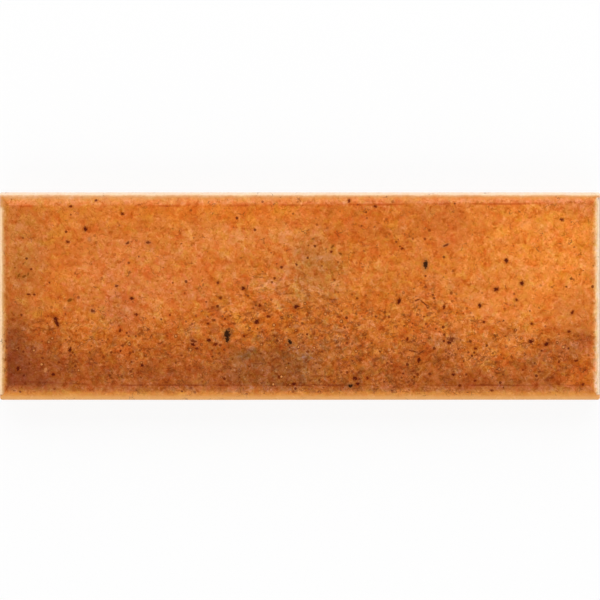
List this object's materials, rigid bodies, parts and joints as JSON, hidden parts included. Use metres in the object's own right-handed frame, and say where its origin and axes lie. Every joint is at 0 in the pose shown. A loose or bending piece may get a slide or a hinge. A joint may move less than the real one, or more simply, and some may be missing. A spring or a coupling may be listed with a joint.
{
  "type": "brick slip",
  "caption": "Thin rectangular facing brick of fired clay with a glazed face, cushioned edges all round and a keyed back for adhesive bedding.",
  "frame": {"origin": "middle of the back, which lies on the floor", "axes": "+X along the length, +Y up the face as the slip stands in a wall, +Z out of the glazed face"},
  "size_m": [0.215, 0.0746, 0.015],
  "materials": {
    "glazed_brick": "gloss"
  },
  "bodies": {
    "root": {"brick_slip": "glazed_brick"}
  },
  "joints": []
}
